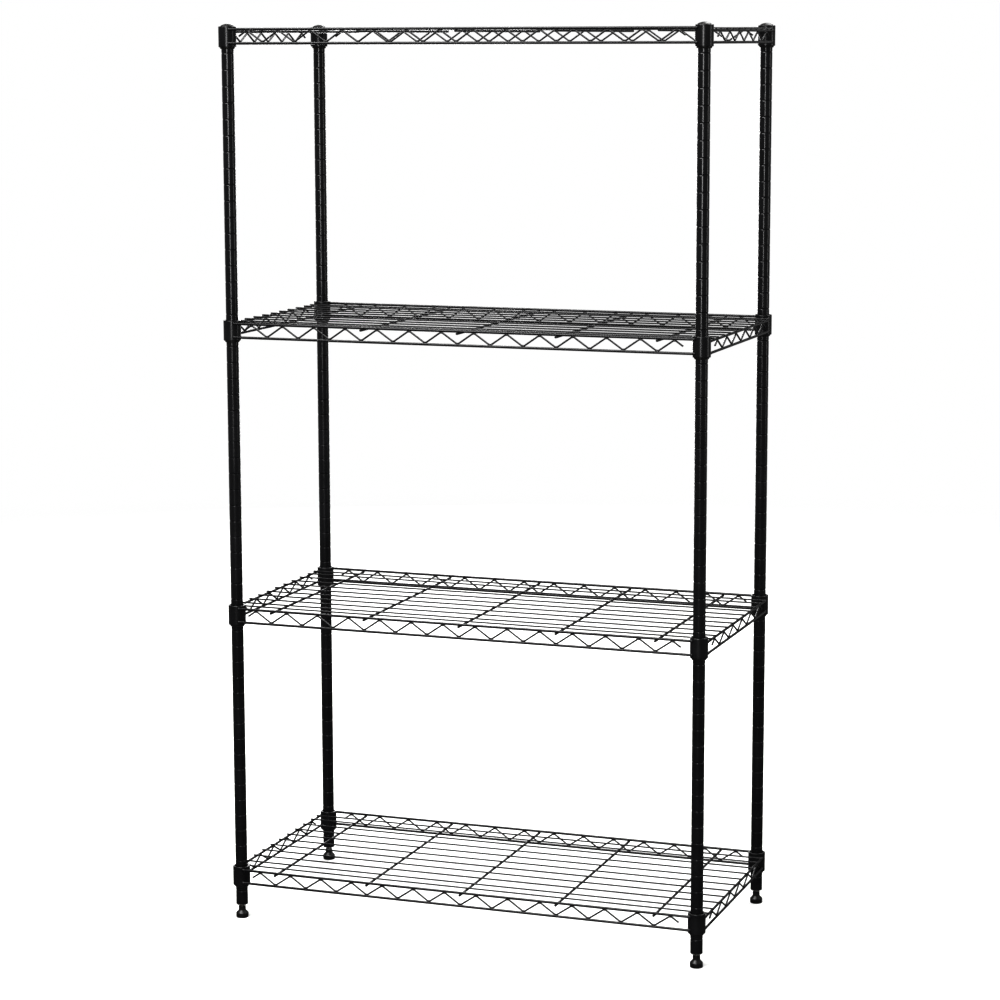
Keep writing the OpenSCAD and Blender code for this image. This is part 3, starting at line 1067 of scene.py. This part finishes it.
    def make_cross_wires(self) -> None:
        """Makes the wires that run from front to rear under the deck."""
        box = self.box("cross_wires")
        places = [Vector((x, 0, box.centre.z)) for x in self.cross_lines()]
        mesh = self.wire.grow(places, Slot.WIRE, Run.FRONT_TO_REAR, Length=box.size.y,
                              Radius=self.cross_radius, Rounding=self.wire_round,
                              Sides=self.cross_sides)
        self.dress("cross_bars", [mesh], "cross_wires")

    def make_deck_wires(self) -> None:
        """Makes the long wires that the goods stand on."""
        box = self.box("deck_wires")
        places = [Vector((0, y, box.centre.z)) for y in self.deck_lines()]
        mesh = self.wire.grow(places, Slot.WIRE, Length=box.size.x, Radius=self.deck_radius,
                              Rounding=self.wire_round, Sides=self.deck_sides)
        self.dress("deck_bars", [mesh], "deck_wires")

    def make_welds(self) -> None:
        """Makes the weld spots, wherever one wire crosses another or meets a collar."""
        rim_x, rim_y = self.rim_line(Run.FRONT_TO_REAR, 1).x, self.rim_line(Run.SIDEWAYS, 1).y
        heights = self.rim_heights()
        deck = self.box("deck_wires").low.z + self.weld_sink / 2
        under_rim = self.box("cross_wires").high.z - self.weld_sink / 2
        cross_lines, deck_lines = self.cross_lines(), self.deck_lines()
        crossings = [Vector((x, y, deck)) for x in cross_lines for y in deck_lines]
        crossings += [Vector((x, side * rim_y, under_rim)) for x in cross_lines for side in (-1, 1)]
        crossings += [Vector((side * rim_x, y, deck)) for y in deck_lines for side in (-1, 1)]
        meshes = [self.weld.grow(crossings, Slot.WIRE, Half_Sizes=Vector(self.crossing_weld) * MM)]
        for run, levels in heights.items():
            low, high = self.bend_heights(run)
            crests = self.crests(run)
            seat = self.truss_radius - self.bend_sink / 2
            bends, ends = [], []
            along = Vector((1, 0, 0)) if run is Run.SIDEWAYS else Vector((0, 1, 0))
            for side in (-1, 1):
                line = self.rim_line(run, side)
                for i in range(2 * crests - 1):
                    height = Vector((0, 0, low - seat if i % 2 else high + seat))
                    bends.append(line + along * (i + 1 - crests) * self.wave / 2 + height)
                reach = self.span(run) / 2 - self.rim_reach - self.rim_radius / 2
                ends += [line + along * way * reach + Vector((0, 0, level))
                         for way in (-1, 1) for level in levels]
            for spots, size in ((bends, self.bend_weld), (ends, self.end_weld)):
                meshes.append(self.weld.grow(spots, Slot.WIRE, run, Half_Sizes=Vector(size) * MM))
        self.dress("welds", meshes)

    def make(self) -> None:
        """Makes the shelf's pieces."""
        self.make_collars()
        for half in Half:
            self.make_clips(half)
        self.make_rims("lower_rims", 0)
        self.make_rims("upper_rims", 1)
        self.make_trusses()
        self.make_cross_wires()
        self.make_deck_wires()
        self.make_welds()


# --- Studio ---------------------------------------------------------------


@dataclass(frozen=True)
class Softbox:
    """A studio light behind a diffuser.

    Its place is told from the middle of the rack: an angle round it from the front, a
    height above the floor and a distance.
    """

    name: str
    angle: float
    height: float
    distance: float
    width: float
    length: float
    power: float

    def set_up(self, target: Vector) -> None:
        """Places the light and turns it to the target."""
        lamp = bpy.data.lights.new(self.name, "AREA")
        lamp.shape = "RECTANGLE"
        lamp.size, lamp.size_y, lamp.energy = self.width, self.length, self.power
        light = bpy.data.objects.new(self.name, lamp)
        turn = math.radians(self.angle)
        place = Vector((math.sin(turn) * self.distance, -math.cos(turn) * self.distance, self.height))
        light.location = place
        light.rotation_euler = (target - place).to_track_quat("-Z", "Y").to_euler()
        light.visible_camera = False
        bpy.context.scene.collection.objects.link(light)
        LOG.info("%s: %.0f W at %s", self.name, self.power, tuple(round(c, 2) for c in place))


@dataclass
class Studio:
    """The floor, the lights and the camera, none of which belong to the rack."""

    camera_place: Vector = field(default_factory=lambda: Vector((1.553, -4.269, 1.409)))
    camera_yaw: float = 19.994
    camera_pitch: float = 9.099
    camera_roll: float = -0.142
    lens: float = 103.1
    sensor: float = 36.0
    clip_start: float = 0.1
    clip_end: float = 100.0
    floor_radius: float = 5.0
    floor_sides: int = 96
    floor_drop: float = 0.05 * MM
    backdrop: str = "#ffffff"
    ambient: float = 0.3
    gamma: float = 0.7
    softboxes: tuple[Softbox, ...] = (
        Softbox("overhead_softbox", -30, 4.6, 2.4, 3.2, 2.6, 330),
        Softbox("strip_by_the_camera", 8, 1.5, 4.6, 0.7, 2.0, 80),
        Softbox("side_strip", 100, 1.4, 3.6, 0.4, 2.0, 16),
        Softbox("rear_strip", 205, 1.2, 4.0, 0.9, 2.6, 70),
        Softbox("rear_softbox", 160, 4.2, 2.6, 2.4, 2.0, 160),
    )

    def make_floor(self) -> None:
        """Makes the round floor that the rack stands on."""
        blank = Blank()
        centre = Vector((0, 0, -self.floor_drop))
        blank.turn([(0.0, 0.0), (self.floor_radius, 0.0)], centre, self.floor_sides)
        mesh = blank.mesh()
        mesh.materials.append(FLOOR_PAINT.material())
        floor = bpy.data.objects.new("studio_floor", mesh)
        bpy.context.scene.collection.objects.link(floor)

    def make_backdrop(self) -> None:
        """Lights the room dimly and shows it as a white backdrop."""
        world = bpy.data.worlds.new("studio_room")
        bpy.context.scene.world = world
        world.use_nodes = True
        tree = world.node_tree
        room = tree.nodes["Background"]
        room.inputs["Color"].default_value = linear(self.backdrop)
        room.inputs["Strength"].default_value = self.ambient
        white = add_node(tree, "ShaderNodeBackground", None, {
            "Color": linear(self.backdrop), "Strength": 1.0})
        seen = add_node(tree, "ShaderNodeLightPath").outputs["Is Camera Ray"]
        mixed = add_node(tree, "ShaderNodeMixShader", None, {0: seen, 1: room, 2: white})
        tree.links.new(mixed.outputs[0], tree.nodes["World Output"].inputs["Surface"])

    def make_camera(self) -> None:
        """Makes the camera: a long lens to the right of the rack, a little above its middle."""
        camera = bpy.data.objects.new("camera", bpy.data.cameras.new("camera"))
        camera.data.lens, camera.data.sensor_width = self.lens, self.sensor
        camera.data.clip_start, camera.data.clip_end = self.clip_start, self.clip_end
        camera.location = self.camera_place
        turn = (Matrix.Rotation(math.radians(self.camera_yaw), 3, "Z")
                @ Matrix.Rotation(math.radians(90 - self.camera_pitch), 3, "X")
                @ Matrix.Rotation(math.radians(self.camera_roll), 3, "Z"))
        camera.rotation_euler = turn.to_euler()
        bpy.context.scene.collection.objects.link(camera)
        bpy.context.scene.camera = camera

    def make(self, target: Vector) -> None:
        """Sets the studio up round the target."""
        look = bpy.context.scene.view_settings
        look.view_transform, look.gamma = "Standard", self.gamma
        self.make_camera()
        self.make_floor()
        self.make_backdrop()
        for softbox in self.softboxes:
            softbox.set_up(target)


def main() -> None:
    """Builds the rack from its feet up, then the studio."""
    logging.basicConfig(level=logging.INFO, format="%(name)s %(message)s")
    posts = [Post(corner) for corner in Corner]
    for post in posts:
        post.make()
    rod = ThreadedRod()
    for corner in Corner:
        Foot(corner, rod).make()
    wire, truss, weld = StraightWire(), TrussWire(), WeldSpot()
    for number in SHELVES:
        Shelf(number, posts, wire, truss, weld).make()
    Studio().make((CAD_BOX[0] + CAD_BOX[1]) / 2)


if __name__ == "__main__":
    main()
